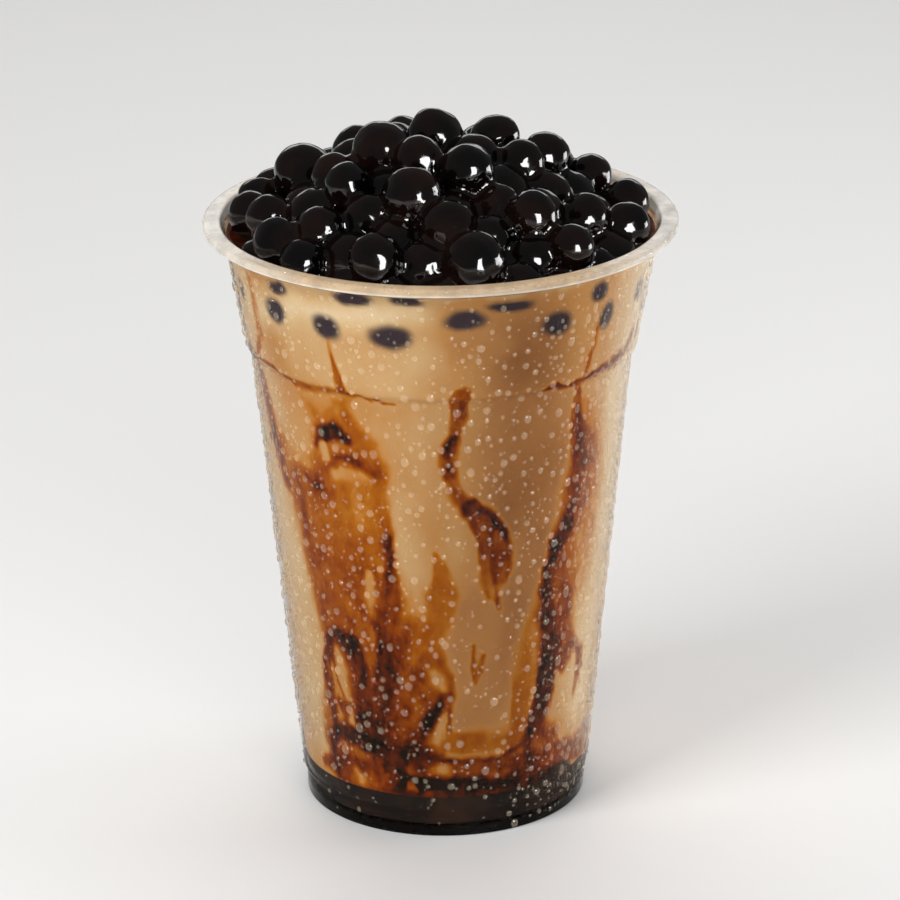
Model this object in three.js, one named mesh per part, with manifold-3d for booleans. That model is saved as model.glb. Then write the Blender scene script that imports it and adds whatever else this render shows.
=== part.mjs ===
// A bubble tea: a tapered see-through plastic cup with a flat lip, filled to the lip with milk tea
// over a layer of dark syrup, and heaped above the lip with cooked tapioca pearls.
// Millimetres, +Z up, origin at the middle of the cup's foot on the table.
import * as THREE from "three";
import { mergeVertices } from "three/addons/utils/BufferGeometryUtils.js";
import Module from "manifold-3d";

const wasm = await Module();
wasm.setup();

// Cup: outside radii and heights
const cupHeight = 123;
const lipRadius = 47.5;
const lipHeight = 1.8;
const lipInnerRadius = 43.9;
const wallUnderLip = 43.7;
const wallAboveStep = 39.4;
const wallBelowStep = 38.4;
const wallAtRing = 30.6;
const wallAtFoot = 29.6;
const footRadius = 29.0;
const wall = 0.8;

const stepHeight = 96.8; // the stacking step, where the wall goes in
const stepRise = 1.0;
const ringHeight = 18; // a fine ring moulded round the wall
const ringDepth = 0.25;
const footBandTop = 8.8;
const footLedge = 5.8;
const footLedgeDepth = 0.35;
const footRingWidth = 1.4; // what the cup stands on
const baseRecess = 1.6;
const roundSegments = 60;

// Contents
const gap = 0.3; // between pieces that touch
const syrupTop = footBandTop;
const drinkTop = 120.2;

// Pearls: their centres lie on a dome or a little under it, and the heap's core is a lower dome
const heapEdge = 120.2;
const heapRise = 17.6;
const heapReach = 42.2; // how far out a dome comes down to its edge height
const heapRoom = 42.4;
const coreEdge = 117.3;
const coreRise = 16.2;
const coreLeast = 0.4; // the core's thickness where its dome runs out
const pearlSeed = 34;
const loosePearls = 60;
const pearlRadiusMin = 4.1;
const pearlRadiusMax = 5.6;
const pearlSunk = 3; // how far under the dome a loose pearl may lie
const pearlSunkMost = 6; // and how far others may push it down
const pearlPress = 0.97; // pearls that touch press into each other by the rest
const pearlRounds = 150;

// The pearls that stand out most, on the dome: x, y and radius
const proudPearls = [
  [-1.0, 7.7, 5.6],
  [-11.5, -0.6, 6.1],
  [-5.5, -20.0, 5.8],
  [5.3, -12.1, 5.5],
  [21.2, 8.2, 4.9],
  [-27.4, 8.2, 5.9],
  [37.6, 6.0, 4.7],
  [-38.0, 0.9, 4.4],
  [6.6, -36.0, 6.1],
  [-12.7, -34.0, 5.4],
  [-32.0, -19.5, 4.9],
  [18.0, -21.7, 4.8],
  [-18.3, -12.0, 4.6],
  [11.1, 15.1, 5.0],
  [25.5, -26.0, 4.4],
  [30.3, 13.0, 4.4],
];

const point = (radius, height) => new THREE.Vector2(radius, height);

// Points of a rounded edge: a quarter ellipse about a centre, between two angles in degrees
function roundedEdge(centreRadius, centreHeight, sizeOut, sizeUp, from, to, steps = 3) {
  const points = [];
  for (let i = 0; i <= steps; i++) {
    const angle = THREE.MathUtils.degToRad(from + ((to - from) * i) / steps);
    points.push(
      point(centreRadius + sizeOut * Math.cos(angle), centreHeight + sizeUp * Math.sin(angle)),
    );
  }
  return points;
}

// A solid of revolution about Z, from a profile that starts and ends on the axis
function turned(profile, segments = roundSegments) {
  return new THREE.LatheGeometry(profile, segments).rotateX(Math.PI / 2);
}

// The wall's outside radius at a height between the foot band and the lip
function outsideRadius(height) {
  const stations = [
    [0, footRadius],
    [footBandTop, wallAtFoot],
    [ringHeight, wallAtRing],
    [stepHeight, wallBelowStep],
    [stepHeight + stepRise, wallAboveStep],
    [cupHeight - lipHeight, wallUnderLip],
  ];
  const above = stations.findIndex(([z]) => z >= height);
  if (above < 1) return above < 0 ? wallUnderLip : footRadius;
  const [[z0, r0], [z1, r1]] = [stations[above - 1], stations[above]];
  return r0 + ((r1 - r0) * (height - z0)) / (z1 - z0);
}

const insideRadius = (height) => outsideRadius(height) - wall;

function cupGeometry() {
  const lipBottom = cupHeight - lipHeight;
  const footOutside = footRadius - footLedgeDepth;
  const floor = baseRecess + wall;
  const outside = [
    point(0, baseRecess),
    point(footOutside - footRingWidth - baseRecess, baseRecess),
    point(footOutside - footRingWidth, 0),
    ...roundedEdge(footOutside - 0.4, 0.4, 0.4, 0.4, -90, 0, 2),
    point(footOutside, footLedge - 0.2),
    point(outsideRadius(footLedge + 0.2), footLedge + 0.2),
    point(wallAtFoot, footBandTop),
    point(wallAtRing - ringDepth, ringHeight - 0.3),
    point(wallAtRing, ringHeight),
    point(wallBelowStep, stepHeight),
    ...roundedEdge(wallBelowStep, stepHeight + stepRise, 0.9, 0.7, -80, -10, 2),
    point(wallAboveStep, stepHeight + stepRise + 0.6),
    point(wallUnderLip, lipBottom),
  ];
  const lip = [
    point(lipRadius - 0.6, lipBottom),
    ...roundedEdge(lipRadius - 0.5, lipBottom + 0.6, 0.5, 0.4, -60, 0, 2),
    ...roundedEdge(lipRadius - 0.8, cupHeight - 0.7, 0.8, 0.7, 0, 90, 3),
    ...roundedEdge(lipInnerRadius + 0.7, cupHeight - 0.6, 0.7, 0.6, 90, 180, 2),
  ];
  const inside = [
    point(insideRadius(lipBottom), lipBottom - 0.6),
    point(insideRadius(stepHeight + stepRise), stepHeight + stepRise),
    point(insideRadius(stepHeight), stepHeight),
    point(insideRadius(ringHeight), ringHeight),
    point(insideRadius(footBandTop), footBandTop),
    ...roundedEdge(insideRadius(floor + 1) - 1, floor + 1, 1, 1, 0, -90),
    point(0, floor),
  ];
  return turned([...outside, ...lip, ...inside]);
}

// What fills the cup between two levels, a gap clear of the wall
function fillGeometry(bottom, top) {
  const levels = [ringHeight, stepHeight, stepHeight + stepRise];
  const heights = [bottom, ...levels.filter((z) => z > bottom && z < top), top];
  return turned([
    point(0, bottom),
    ...heights.map((z) => point(insideRadius(z) - gap, z)),
    point(0, top),
  ]);
}

function syrupGeometry() {
  const bottom = baseRecess + wall + gap;
  const radius = insideRadius(bottom + 1) - gap;
  return turned([
    point(0, bottom),
    ...roundedEdge(radius - 1, bottom + 1, 1, 1, -90, 0),
    point(insideRadius(syrupTop - gap) - gap, syrupTop - gap),
    point(0, syrupTop - gap),
  ]);
}

// Repeatable draws between 0 and 1
function drawsFrom(seed) {
  let state = seed;
  return () => {
    state = (1664525 * state + 1013904223) % 4294967296;
    return state / 4294967296;
  };
}

const domeHeight = (x, y, edge, rise) => edge + rise * (1 - (x * x + y * y) / heapReach ** 2);
const centreHeight = ({ x, y, sunk }) => domeHeight(x, y, heapEdge, heapRise) - sunk;

// Two pearls that overlap move apart. A proud pearl stays, and the lower pearl is pushed down.
function parted(one, other) {
  const alongX = one.x - other.x;
  const alongY = one.y - other.y;
  const rise = centreHeight(one) - centreHeight(other);
  const apart = Math.sqrt(alongX ** 2 + alongY ** 2 + rise ** 2);
  const touch = pearlPress * (one.radius + other.radius);
  if (apart >= touch || (one.proud && other.proud)) return;
  const push = (touch - apart) / apart;
  const share = one.proud ? 0 : other.proud ? 1 : 0.5;
  one.x += alongX * push * share;
  one.y += alongY * push * share;
  other.x -= alongX * push * (1 - share);
  other.y -= alongY * push * (1 - share);
  const lower = rise < 0 ? one : other;
  if (!lower.proud) lower.sunk = Math.min(lower.sunk + push * Math.abs(rise), pearlSunkMost);
}

// The loose pearls start on a spiral over the whole heap. Round after round they rise a little
// toward where they belong, part from each other and stay off the wall.
function layPearls() {
  const draw = drawsFrom(pearlSeed);
  const pearls = proudPearls.map(([x, y, radius]) => ({ x, y, radius, sunk: 0, rest: 0, proud: true }));
  for (let i = 0; i < loosePearls; i++) {
    const radius = pearlRadiusMin + (pearlRadiusMax - pearlRadiusMin) * (draw() + draw()) * 0.5;
    const rest = pearlSunk * draw();
    const out = (heapRoom - radius) * Math.sqrt((i + 0.5) / loosePearls);
    const turn = 2.39996323 * i;
    pearls.push({ x: out * Math.cos(turn), y: out * Math.sin(turn), radius, sunk: rest, rest });
  }
  for (let round = 0; round < pearlRounds; round++) {
    for (const pearl of pearls) pearl.sunk += (pearl.rest - pearl.sunk) * 0.08;
    pearls.forEach((one, i) => pearls.slice(0, i).forEach((other) => parted(one, other)));
    for (const pearl of pearls) {
      const within = Math.min(1, (heapRoom - pearl.radius) / Math.hypot(pearl.x, pearl.y));
      pearl.x *= within;
      pearl.y *= within;
    }
  }
  return pearls;
}

function solidFrom(geometry) {
  const bare = geometry.index ? geometry.toNonIndexed() : geometry.clone();
  bare.deleteAttribute("normal");
  bare.deleteAttribute("uv");
  const merged = mergeVertices(bare, 1e-4);
  return new wasm.Manifold(
    new wasm.Mesh({
      numProp: 3,
      vertProperties: new Float32Array(merged.attributes.position.array),
      triVerts: new Uint32Array(merged.index.array),
    }),
  );
}

function geometryFrom(solid) {
  const { numProp, vertProperties, triVerts } = solid.getMesh();
  const positions = new Float32Array((vertProperties.length / numProp) * 3);
  for (let i = 0; i < positions.length / 3; i++) {
    positions.set(vertProperties.subarray(i * numProp, i * numProp + 3), i * 3);
  }
  const geometry = new THREE.BufferGeometry();
  geometry.setAttribute("position", new THREE.BufferAttribute(positions, 3));
  geometry.setIndex(new THREE.BufferAttribute(triVerts, 1));
  geometry.computeVertexNormals();
  return geometry;
}

// One solid: the core's dome with every pearl fused on, cut off level above the drink
function heapGeometry() {
  const bottom = drinkTop + gap;
  const radius = insideRadius(bottom) - gap;
  const dome = [point(0, bottom), point(radius + 1, bottom)];
  const domeSteps = 4;
  for (let i = 0; i <= domeSteps; i++) {
    const out = (radius + 1) * (1 - i / domeSteps);
    dome.push(point(out, Math.max(domeHeight(out, 0, coreEdge, coreRise), bottom + coreLeast)));
  }
  let heap = solidFrom(turned(dome, 20));
  for (const pearl of layPearls()) {
    const ball = new THREE.IcosahedronGeometry(pearl.radius, 1);
    heap = heap.add(solidFrom(ball.translate(pearl.x, pearl.y, centreHeight(pearl))));
  }
  const above = [
    point(0, bottom),
    point(radius, bottom),
    point(radius, cupHeight * 1.5),
    point(0, cupHeight * 1.5),
  ];
  return geometryFrom(heap.intersect(solidFrom(turned(above))));
}

function piece(name, geometry, material) {
  const mesh = new THREE.Mesh(geometry, new THREE.MeshStandardMaterial(material));
  mesh.name = name;
  return mesh;
}

const bubbleTea = new THREE.Group();
bubbleTea.add(
  piece("cup", cupGeometry(), {
    color: 0xeae6dc,
    roughness: 0.2,
    metalness: 0,
    transparent: true,
    opacity: 0.4,
  }),
  piece("syrup_layer", syrupGeometry(), { color: 0x140b07, roughness: 0.15, metalness: 0 }),
  piece("milk_tea", fillGeometry(syrupTop, drinkTop), {
    color: 0xcda173,
    roughness: 0.35,
    metalness: 0,
  }),
  piece("pearl_heap", heapGeometry(), { color: 0x0e0a09, roughness: 0.12, metalness: 0 }),
);

export default bubbleTea;
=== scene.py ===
# Bubble tea: a clear cup of milk tea streaked with dark syrup and heaped with tapioca pearls.
import bpy
import math
import numpy as np
from mathutils import Matrix, Vector, noise


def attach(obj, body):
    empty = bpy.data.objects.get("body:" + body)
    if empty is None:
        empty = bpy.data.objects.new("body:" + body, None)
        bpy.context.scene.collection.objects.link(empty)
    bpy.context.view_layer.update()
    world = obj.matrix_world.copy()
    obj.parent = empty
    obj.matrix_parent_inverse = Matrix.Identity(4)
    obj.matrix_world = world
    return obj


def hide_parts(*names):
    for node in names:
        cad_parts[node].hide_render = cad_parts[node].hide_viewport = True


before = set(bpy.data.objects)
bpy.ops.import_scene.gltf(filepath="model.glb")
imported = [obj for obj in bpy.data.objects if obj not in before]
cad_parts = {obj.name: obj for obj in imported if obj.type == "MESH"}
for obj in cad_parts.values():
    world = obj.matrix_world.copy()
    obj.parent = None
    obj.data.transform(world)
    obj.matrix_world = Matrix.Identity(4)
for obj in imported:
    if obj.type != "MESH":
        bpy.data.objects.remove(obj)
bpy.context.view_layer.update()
mm = 0.001  # sizes below are in millimetres, and meshes in metres

# The cup's sizes, as the frame has them
cup = {
    "height": 123,
    "lipRadius": 47.5,
    "lipHeight": 1.8,
    "lipInnerRadius": 43.9,
    "lipChamfer": 0.6,
    "lipUnder": (0.5, 0.4),  # rounded edges have a size outwards and a size up
    "lipOver": (0.8, 0.7),
    "lipInner": (0.7, 0.6),
    "wallUnderLip": 43.7,
    "wallAboveStep": 39.4,
    "wallBelowStep": 38.4,
    "wallAtRing": 30.6,
    "wallAtFoot": 29.6,
    "footRadius": 29.0,
    "wall": 0.8,
    "stepHeight": 96.8,
    "stepRise": 1.0,
    "stepEdge": (0.9, 0.7),
    "stepEase": 0.6,
    "ringHeight": 18,
    "ringWidth": 0.3,
    "ringDepth": 0.25,
    "footBandTop": 8.8,
    "footLedge": 5.8,
    "footLedgeDepth": 0.35,
    "footLedgeSlant": 0.2,
    "footRingWidth": 1.4,
    "footEdge": 0.4,
    "baseRecess": 1.6,
    "floorEdge": 1,
    "roundSteps": 192,
}
drinkTop = 120.2
intoWall = 0.15  # how far what fills the cup reaches into its wall
sharpAngle = 38  # degrees: a turned shape is smooth up to this angle

stations = [  # outside of the wall: height, radius
    (0, cup["footRadius"]),
    (cup["footBandTop"], cup["wallAtFoot"]),
    (cup["ringHeight"], cup["wallAtRing"]),
    (cup["stepHeight"], cup["wallBelowStep"]),
    (cup["stepHeight"] + cup["stepRise"], cup["wallAboveStep"]),
    (cup["height"] - cup["lipHeight"], cup["wallUnderLip"]),
]


def outsideRadius(height):
    return np.interp(height, [z for z, r in stations], [r for z, r in stations])


def insideRadius(height):
    return outsideRadius(height) - cup["wall"]


def roundedEdge(centreRadius, centreHeight, sizeOut, sizeUp, start, end, steps):
    turns = [math.radians(start + (end - start) * i / steps) for i in range(steps + 1)]
    return [(centreRadius + sizeOut * math.cos(a), centreHeight + sizeUp * math.sin(a)) for a in turns]


# A profile drawn point by point from a single vertex, then spun about the cup's axis
def turnedShape(name, profile, steps):
    bpy.ops.object.select_all(action="DESELECT")
    bpy.ops.mesh.primitive_plane_add(size=mm, location=(0, 0, 0))
    shape = bpy.context.object
    shape.name = name
    bpy.ops.object.mode_set(mode="EDIT")
    bpy.ops.mesh.select_all(action="SELECT")
    bpy.ops.mesh.merge(type="CENTER")
    bpy.ops.transform.translate(value=(profile[0][0] * mm, 0, profile[0][1] * mm))
    for (radius, height), (nextRadius, nextHeight) in zip(profile, profile[1:]):
        step = ((nextRadius - radius) * mm, 0, (nextHeight - height) * mm)
        bpy.ops.mesh.extrude_vertices_move(TRANSFORM_OT_translate={"value": step})
    bpy.ops.mesh.select_all(action="SELECT")
    bpy.ops.mesh.spin(steps=steps, angle=2 * math.pi, center=(0, 0, 0), axis=(0, 0, 1))
    bpy.ops.mesh.select_all(action="SELECT")
    bpy.ops.mesh.remove_doubles(threshold=1e-6)
    bpy.ops.mesh.normals_make_consistent(inside=False)
    bpy.ops.object.mode_set(mode="OBJECT")
    bpy.ops.object.shade_smooth_by_angle(angle=math.radians(sharpAngle))
    return shape


def newMaterial(name):
    material = bpy.data.materials.new(name)
    material.use_nodes = True
    return material, material.node_tree, material.node_tree.nodes["Principled BSDF"]


def dress(piece, material, slot, *replaced):
    piece.data.materials.clear()
    piece.data.materials.append(material)
    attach(piece, "root")
    if replaced:
        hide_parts(*replaced)


# A socket is given another node's output, or else a number or a colour of its own
def feed(tree, socket, value):
    if isinstance(value, bpy.types.NodeSocket):
        tree.links.new(value, socket)
    else:
        socket.default_value = (*value, 1) if isinstance(value, tuple) else value


def mathNode(tree, operation, *values, clamp=False):
    node = tree.nodes.new("ShaderNodeMath")
    node.operation = operation
    node.use_clamp = clamp
    for socket, value in zip(node.inputs, values):
        feed(tree, socket, value)
    return node.outputs[0]


def ramp(tree, fac, stops):
    node = tree.nodes.new("ShaderNodeValToRGB")
    node.color_ramp.elements[0].position = stops[0][0]
    node.color_ramp.elements[1].position = stops[-1][0]
    for place, colour in stops[1:-1]:
        node.color_ramp.elements.new(place)
    for element, (place, colour) in zip(node.color_ramp.elements, stops):
        element.position = place
        element.color = (*colour, 1)
    tree.links.new(fac, node.inputs["Fac"])
    return node.outputs["Color"]


def greys(stops):
    return [(place, (value, value, value)) for place, value in stops]


def noiseFac(tree, place, scale, detail):
    flow = tree.nodes.new("ShaderNodeMapping")
    flow.inputs["Scale"].default_value = scale
    tree.links.new(place.outputs["Object"], flow.inputs["Vector"])
    grain = tree.nodes.new("ShaderNodeTexNoise")
    grain.inputs["Scale"].default_value = 1
    grain.inputs["Detail"].default_value = detail
    tree.links.new(flow.outputs[0], grain.inputs["Vector"])
    return grain.outputs["Fac"]


# Noise times an amount, on top of the least value
def unevenness(tree, place, scale, detail, amount, least):
    return mathNode(tree, "MULTIPLY_ADD", noiseFac(tree, place, scale, detail), amount, least)


def mixColours(tree, fac, first, second):
    node = tree.nodes.new("ShaderNodeMix")
    node.data_type = "RGBA"
    feed(tree, node.inputs["Factor"], fac)
    feed(tree, node.inputs[6], first)
    feed(tree, node.inputs[7], second)
    return node.outputs[2]


def mixShaders(tree, fac, first, second):
    node = tree.nodes.new("ShaderNodeMixShader")
    feed(tree, node.inputs["Fac"], fac)
    feed(tree, node.inputs[1], first)
    feed(tree, node.inputs[2], second)
    return node.outputs[0]


# Camera: a long lens, looking down at the cup from the front
view = {"aim": (1.5, 0, 73), "distance": 1000, "elevation": 20.36, "roll": -0.46, "lens": 196.8, "sensor": 36}
down = math.radians(view["elevation"])
cameraData = bpy.data.cameras.new("camera")
cameraData.lens = view["lens"]
cameraData.sensor_width = view["sensor"]
camera = bpy.data.objects.new("camera", cameraData)
bpy.context.collection.objects.link(camera)
away = Vector((0, -math.cos(down), math.sin(down))) * view["distance"]
turn = Matrix.Rotation(math.pi / 2 - down, 4, "X") @ Matrix.Rotation(math.radians(view["roll"]), 4, "Z")
camera.matrix_world = Matrix.Translation((Vector(view["aim"]) + away) * mm) @ turn
bpy.context.scene.camera = camera
print("camera set")

# The cup's wall: clear plastic, a little misted, with a whiter lip, a painted sheen at its sides and a
# painted highlight line on the lip
cupLook = {
    # How milky it is from foot to lip, then from left to right, and how high the second begins; the second is
    # partly condensation mist and partly painted light that whitens the left and right sides
    "milky": [(0, 0.96), (0.016, 0.96), (0.024, 0.004), (0.982, 0.004), (0.988, 0.72), (1, 0.72)],
    "sideMistAndLight": [(0, 0.14), (0.05, 0.05), (0.12, 0), (0.86, 0), (0.94, 0.18), (1, 0.42)],
    "sideMistAndLightStarts": [(0.06, 0), (0.13, 1)],
    "mistScale": 900,
    "mistSize": 0.13,
    "mistMilky": 0.1,
    "frost": ((240, 240, 240), 3, 1.1, 0.45),  # noise: scale, detail, amount, least
    "lipToneAndSideSheen": [(0.55, (0.66, 0.48, 0.30)), (0.95, (0.88, 0.83, 0.75))],  # middle to side: tan at the middle, whiter towards the sides as a painted sheen
    "lipHighlightLine": [(0.9845, 0), (0.9865, 1), (0.9885, 1), (0.9905, 0)],  # foot to lip: where the painted highlight line lies
    "lipHighlightTone": (0.98, 0.93, 0.85),
    "footTone": (0.003, 0.002, 0.0016),
    "footToneTop": 4.5,
    "roughness": 0.2,
    "specular": 0.04,
    "glossRoughness": 0.08,
    "shine": 1.1,  # index of refraction for its gloss
}


def cupProfile():
    top, lipOut, chamfer = cup["height"], cup["lipRadius"], cup["lipChamfer"]
    lipBottom = top - cup["lipHeight"]
    footOutside = cup["footRadius"] - cup["footLedgeDepth"]
    floor = cup["baseRecess"] + cup["wall"]
    ledge, slant, footEdge = cup["footLedge"], cup["footLedgeSlant"], cup["footEdge"]
    ringTop, step = cup["ringHeight"], cup["stepHeight"]
    above = step + cup["stepRise"]
    underOut, underUp = cup["lipUnder"]
    overOut, overUp = cup["lipOver"]
    innerOut, innerUp = cup["lipInner"]
    floorEdge = cup["floorEdge"]
    floorRound = floor + floorEdge
    outside = [
        (0, cup["baseRecess"]),
        (footOutside - cup["footRingWidth"] - cup["baseRecess"], cup["baseRecess"]),
        (footOutside - cup["footRingWidth"], 0),
        *roundedEdge(footOutside - footEdge, footEdge, footEdge, footEdge, -90, 0, 5),
        (footOutside, ledge - slant),
        (outsideRadius(ledge + slant), ledge + slant),
        (cup["wallAtFoot"], cup["footBandTop"]),
        (cup["wallAtRing"] - cup["ringDepth"], ringTop - cup["ringWidth"]),
        (cup["wallAtRing"], ringTop),
        (cup["wallBelowStep"], step),
        *roundedEdge(cup["wallBelowStep"], above, *cup["stepEdge"], -80, -10, 6),
        (cup["wallAboveStep"], above + cup["stepEase"]),
        (cup["wallUnderLip"], lipBottom),
    ]
    lip = [
        (lipOut - chamfer, lipBottom),
        *roundedEdge(lipOut - underOut, lipBottom + chamfer, underOut, underUp, -60, 0, 4),
        *roundedEdge(lipOut - overOut, top - overUp, overOut, overUp, 0, 90, 7),
        *roundedEdge(cup["lipInnerRadius"] + innerOut, top - innerUp, innerOut, innerUp, 90, 180, 6),
    ]
    inside = [
        (insideRadius(lipBottom), lipBottom - chamfer),
        (insideRadius(above), above),
        (insideRadius(step), step),
        (insideRadius(ringTop), ringTop),
        (insideRadius(cup["footBandTop"]), cup["footBandTop"]),
        *roundedEdge(insideRadius(floorRound) - floorEdge, floorRound, floorEdge, floorEdge, 0, -90, 5),
        (0, floor),
    ]
    return outside + lip + inside


# From 0 at the cup's left side to 1 at its right side
def leftToRight(tree, place):
    level = tree.nodes.new("ShaderNodeVectorMath")
    level.operation = "MULTIPLY"
    level.inputs[1].default_value = (1, 1, 0)
    tree.links.new(place.outputs["Object"], level.inputs[0])
    outward = tree.nodes.new("ShaderNodeVectorMath")
    outward.operation = "NORMALIZE"
    tree.links.new(level.outputs[0], outward.inputs[0])
    split = tree.nodes.new("ShaderNodeSeparateXYZ")
    tree.links.new(outward.outputs[0], split.inputs[0])
    return mathNode(tree, "MULTIPLY_ADD", split.outputs["X"], 0.5, 0.5)


# The plastic's colour with painted light in it: a sheen whiter towards the left and right sides and a
# highlight line along the lip's lower edge; near black at the foot
def plasticToneAndPaintedLight(tree, height, footToLip, sideways):
    fromMiddle = mathNode(tree, "ABSOLUTE", sideways)
    middleToSide = mathNode(tree, "MULTIPLY", fromMiddle, 1 / (cup["lipRadius"] * mm))
    # A painted sheen: tan at the middle, whiter towards the left and right sides
    tone = ramp(tree, middleToSide, cupLook["lipToneAndSideSheen"])
    # A painted highlight: a pale line along the lip's lower edge
    tone = mixColours(tree, ramp(tree, footToLip, greys(cupLook["lipHighlightLine"])), tone, cupLook["lipHighlightTone"])
    atFoot = mathNode(tree, "LESS_THAN", height, cupLook["footToneTop"] * mm)
    return mixColours(tree, atFoot, tone, cupLook["footTone"])


def plasticMilkinessAndSideLight(tree, place, footToLip):
    speck = tree.nodes.new("ShaderNodeTexVoronoi")  # the finest mist on the wall
    speck.inputs["Scale"].default_value = cupLook["mistScale"]
    tree.links.new(place.outputs["Object"], speck.inputs["Vector"])
    dots = mathNode(tree, "LESS_THAN", speck.outputs["Distance"], cupLook["mistSize"])
    mist = mathNode(tree, "MULTIPLY", dots, cupLook["mistMilky"])
    # Partly condensation mist, partly painted light: the wall turns whiter towards its left and right sides
    sideMistAndLight = ramp(tree, leftToRight(tree, place), greys(cupLook["sideMistAndLight"]))
    sideMistAndLight = mathNode(tree, "MULTIPLY", sideMistAndLight, ramp(tree, footToLip, greys(cupLook["sideMistAndLightStarts"])))
    haze = ramp(tree, footToLip, greys(cupLook["milky"]))
    milky = mathNode(tree, "MAXIMUM", mathNode(tree, "MAXIMUM", haze, sideMistAndLight), mist)
    return mathNode(tree, "MULTIPLY", milky, unevenness(tree, place, *cupLook["frost"]), clamp=True)


def cupMaterial():
    material, tree, plastic = newMaterial("clear plastic")
    place = tree.nodes.new("ShaderNodeTexCoord")
    split = tree.nodes.new("ShaderNodeSeparateXYZ")
    tree.links.new(place.outputs["Object"], split.inputs[0])
    height = split.outputs["Z"]
    footToLip = mathNode(tree, "MULTIPLY", height, 1 / (cup["height"] * mm))
    tree.links.new(plasticToneAndPaintedLight(tree, height, footToLip, split.outputs["X"]), plastic.inputs["Base Color"])
    plastic.inputs["Roughness"].default_value = cupLook["roughness"]
    plastic.inputs["Specular IOR Level"].default_value = cupLook["specular"]
    clear = tree.nodes.new("ShaderNodeBsdfTransparent")
    body = mixShaders(tree, plasticMilkinessAndSideLight(tree, place, footToLip), clear.outputs[0], plastic.outputs[0])
    gloss = tree.nodes.new("ShaderNodeBsdfGlossy")
    gloss.inputs["Roughness"].default_value = cupLook["glossRoughness"]
    grazing = tree.nodes.new("ShaderNodeFresnel")
    grazing.inputs["IOR"].default_value = cupLook["shine"]
    whole = mixShaders(tree, grazing.outputs[0], body, gloss.outputs[0])
    tree.links.new(whole, tree.nodes["Material Output"].inputs["Surface"])
    return material


cupPiece = turnedShape("cup_wall", cupProfile(), cup["roundSteps"])
dress(cupPiece, cupMaterial(), "cup_plastic", "cup")
print("cup made")

# The milk tea, with the syrup that runs down inside the wall
tea = {
    "seed": 5,  # without one, the noise changes from run to run
    "rowHeight": 0.6,
    "roundSteps": 480,
    "bottomRing": 20,
    "edgeRings": [(42.2, 0.3), (41.4, 0)],  # radius, and how far the drink climbs there
    "topRings": (38, 30, 18, 0),
    "warp": (0.13, 0.07, 1.6),  # noise that moves a streak's edge: scale across, scale up, amount
    "ragged": (0.5, 0.28, 0.64),
    "blurNoise": (0.11, 0.09, 0.9),
    "blur": (0.45, 1.9),  # least, and how much more
    "paleness": 0.5,
    "topDarkness": 0.9,
    "topEdgePaler": 0.25,
    "topEdge": 41.8,
    "pearlReach": 1.25,
    "pearlSharpness": 1.6,
    "pearlsFromAxis": 40,
    "backTurn": 186,  # the back's streaks are the front's, turned and a little shorter
    "backShorter": 0.94,
    "backStart": 8,
    "backEnd": 95,  # from here up they keep their height
    "runs": ((420, 420, 90), 4, 0.5, 0.72),  # noise: scale, detail, amount, least
    "specks": ((1300, 1300, 900), 2, 0.44, 0.78),
    "blotches": ((430, 430, 330), 3, 0.9, 0.55),
    "drift": ((70, 70, 45), 3, 0.5, -0.25),
    # The milk's colour from least to most pale: its browner end is partly painted shade and its paler end
    # partly painted light
    "milkToneAndShade": [
        (0.0, (0.25, 0.095, 0.027)),
        (0.25, (0.37, 0.162, 0.050)),
        (0.5, (0.45, 0.222, 0.070)),
        (0.8, (0.56, 0.375, 0.185)),
        (1.0, (0.65, 0.50, 0.31)),
    ],
    "syrupTones": [
        (0.0, (0.48, 0.26, 0.10)),
        (0.10, (0.47, 0.21, 0.050)),
        (0.20, (0.44, 0.165, 0.018)),
        (0.30, (0.37, 0.117, 0.006)),
        (0.40, (0.30, 0.074, 0.002)),
        (0.50, (0.225, 0.043, 0.002)),
        (0.62, (0.135, 0.018, 0.002)),
        (0.76, (0.052, 0.009, 0.003)),
        (0.90, (0.010, 0.005, 0.003)),
    ],
    "stain": 3.4,  # how soon syrup hides the milk
    "sunkPearl": (0.035, 0.024, 0.030),
    "roughness": 0.35,
    "specular": 0.03,
}
# How pale the milk is from place to place, partly its own tone and partly painted light and shade, paler at
# the left and right sides and browner at the middle right: paleness, softness, route of (angle, height, half
# width)
milkToneAndShade = [
    (0.14, 12, [(25, 112, 8), (27, 90, 9), (27, 60, 9), (24, 40, 7)]),
    (0.26, 8, [(8, 50, 5), (12, 36, 6), (12, 25, 5)]),
    (0.36, 6, [(6, 109, 3), (16, 109, 3)]),
    (0.78, 12, [(-80, 118, 10), (-72, 90, 9), (-66, 60, 8), (-60, 20, 7)]),
    (0.72, 8, [(-15, 74, 3.2), (-13, 60, 3.4), (-9, 52, 2)]),
    (0.95, 12, [(78, 112, 12), (74, 80, 8), (72, 50, 8), (66, 26, 7)]),
    (0.68, 7, [(-44, 104, 6), (-14, 104, 6), (-6, 108, 4)]),
    (0.96, 8, [(-64, 110, 3), (-38, 114, 3.5), (-22, 115.5, 3.5), (-6, 116.5, 2.5)]),
    (0.8, 3, [(-60, 121, 1.8), (0, 121, 1.8), (60, 121, 1.8)]),
]
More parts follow.
